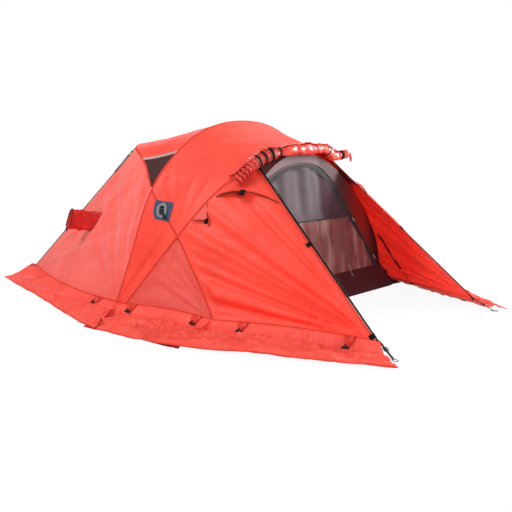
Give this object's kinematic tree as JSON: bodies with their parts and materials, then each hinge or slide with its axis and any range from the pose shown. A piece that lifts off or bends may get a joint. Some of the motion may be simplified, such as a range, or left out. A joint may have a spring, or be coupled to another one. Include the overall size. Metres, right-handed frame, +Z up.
{
  "type": "four-season dome tent",
  "caption": "Red four-season dome tent with snow skirts, front porch open with its door rolled up, arched inner door, brow vents and rear snorkel vent.",
  "frame": {"origin": "on the centre line, on the ground plane under the tub floor, 0.24 m in front of the middle hoop's feet", "axes": "+X towards the open front porch, +Y to the far side, +Z up"},
  "size_m": [3.6991, 2.7594, 1.1965],
  "materials": {
    "fly_fabric": "coated ripstop nylon, slight sheen",
    "skirt_fabric": "coated nylon, wrinkled",
    "inner_fabric": "uncoated breathable nylon",
    "floor_fabric": "heavy coated nylon",
    "mesh_fabric": "fine insect mesh",
    "patch_fabric": "reinforced laminate patch",
    "webbing": "woven polyester webbing and zip tape",
    "guy_cord": "braided cord",
    "elastic_cord": "braided elastic cord with metal tips",
    "pole_alloy": "gold anodised",
    "zip_metal": "dark lacquer"
  },
  "bodies": {
    "tent": {"hoop_pole": "pole_alloy", "hoop_cord_and_tips": "elastic_cord", "brow_pole": "pole_alloy", "brow_cord_and_tips": "elastic_cord", "long_pole": "pole_alloy", "long_cord_and_tips": "elastic_cord", "fly_roof_front": "fly_fabric", "fly_roof_rear": "fly_fabric", "fly_rear_door": "fly_fabric", "fly_gore_near": "fly_fabric", "fly_side_near": "fly_fabric", "fly_front_near": "fly_fabric", "fly_rear_near": "fly_fabric", "vent_window_near": "mesh_fabric", "front_zip_near": "webbing", "rear_zip_near": "webbing", "fly_gore_far": "fly_fabric", "fly_side_far": "fly_fabric", "fly_front_far": "fly_fabric", "fly_rear_far": "fly_fabric", "vent_window_far": "mesh_fabric", "front_zip_far": "webbing", "rear_zip_far": "webbing", "floor_tub": "floor_fabric", "inner_front_wall": "inner_fabric", "inner_canopy": "inner_fabric", "inner_rear_wall": "inner_fabric", "middle_foot_tab_near": "webbing", "front_foot_tab_near": "webbing", "skirt_rear_near": "skirt_fabric", "skirt_side_near": "skirt_fabric", "skirt_front_near": "skirt_fabric", "middle_foot_tab_far": "webbing", "front_foot_tab_far": "webbing", "skirt_rear_far": "skirt_fabric", "skirt_side_far": "skirt_fabric", "skirt_front_far": "skirt_fabric", "skirt_rear_door": "skirt_fabric", "brow_hood_near": "fly_fabric", "brow_hood_far": "fly_fabric", "snorkel_vent": "fly_fabric", "rolled_door": "fly_fabric", "roll_tie_near": "webbing", "guy_patch_near": "patch_fabric", "guyline_hank_near": "guy_cord", "front_peg_strap_near": "webbing", "rear_peg_strap_near": "webbing", "roll_tie_far": "webbing", "guy_patch_far": "patch_fabric", "guyline_hank_far": "guy_cord", "front_peg_strap_far": "webbing", "rear_peg_strap_far": "webbing"},
    "front_slider_near": {"front_zip_slider_near": "zip_metal"},
    "front_slider_far": {"front_zip_slider_far": "zip_metal"},
    "rear_slider_near": {"rear_zip_slider_near": "zip_metal"},
    "rear_slider_far": {"rear_zip_slider_far": "zip_metal"},
    "door_slider_low": {"inner_door_slider_low": "zip_metal"},
    "door_slider_high": {"inner_door_slider_high": "zip_metal"},
    "inner_door": {"inner_door_cloth": "inner_fabric", "inner_door_mesh": "mesh_fabric"}
  },
  "joints": [
    {"name": "front_slider_near_run", "type": "slide", "parent": "tent", "child": "front_slider_near", "axis": [-0.7669, 0.2134, 0.6053], "range_m": [-1.06, 0]},
    {"name": "front_slider_far_run", "type": "slide", "parent": "tent", "child": "front_slider_far", "axis": [-0.7643, -0.0922, 0.6382], "range_m": [-1, 0]},
    {"name": "rear_slider_near_run", "type": "slide", "parent": "tent", "child": "rear_slider_near", "axis": [0.7936, 0.0571, 0.6057], "range_m": [-1.43, 0]},
    {"name": "rear_slider_far_run", "type": "slide", "parent": "tent", "child": "rear_slider_far", "axis": [0.7936, -0.0571, 0.6057], "range_m": [-1.43, 0]},
    {"name": "door_slider_low_run", "type": "slide", "parent": "tent", "child": "door_slider_low", "axis": [-0.1077, -0.6088, 0.786], "range_m": [-0.05, 0.16]},
    {"name": "door_slider_high_run", "type": "slide", "parent": "tent", "child": "door_slider_high", "axis": [-0.1077, -0.6088, 0.786], "range_m": [-0.13, 0.16]},
    {"name": "inner_door_fold", "type": "hinge", "parent": "tent", "child": "inner_door", "pos_m": [0.5655, 0, 0.1612], "axis": [0, -1, 0], "range_deg": [0, 80]}
  ]
}
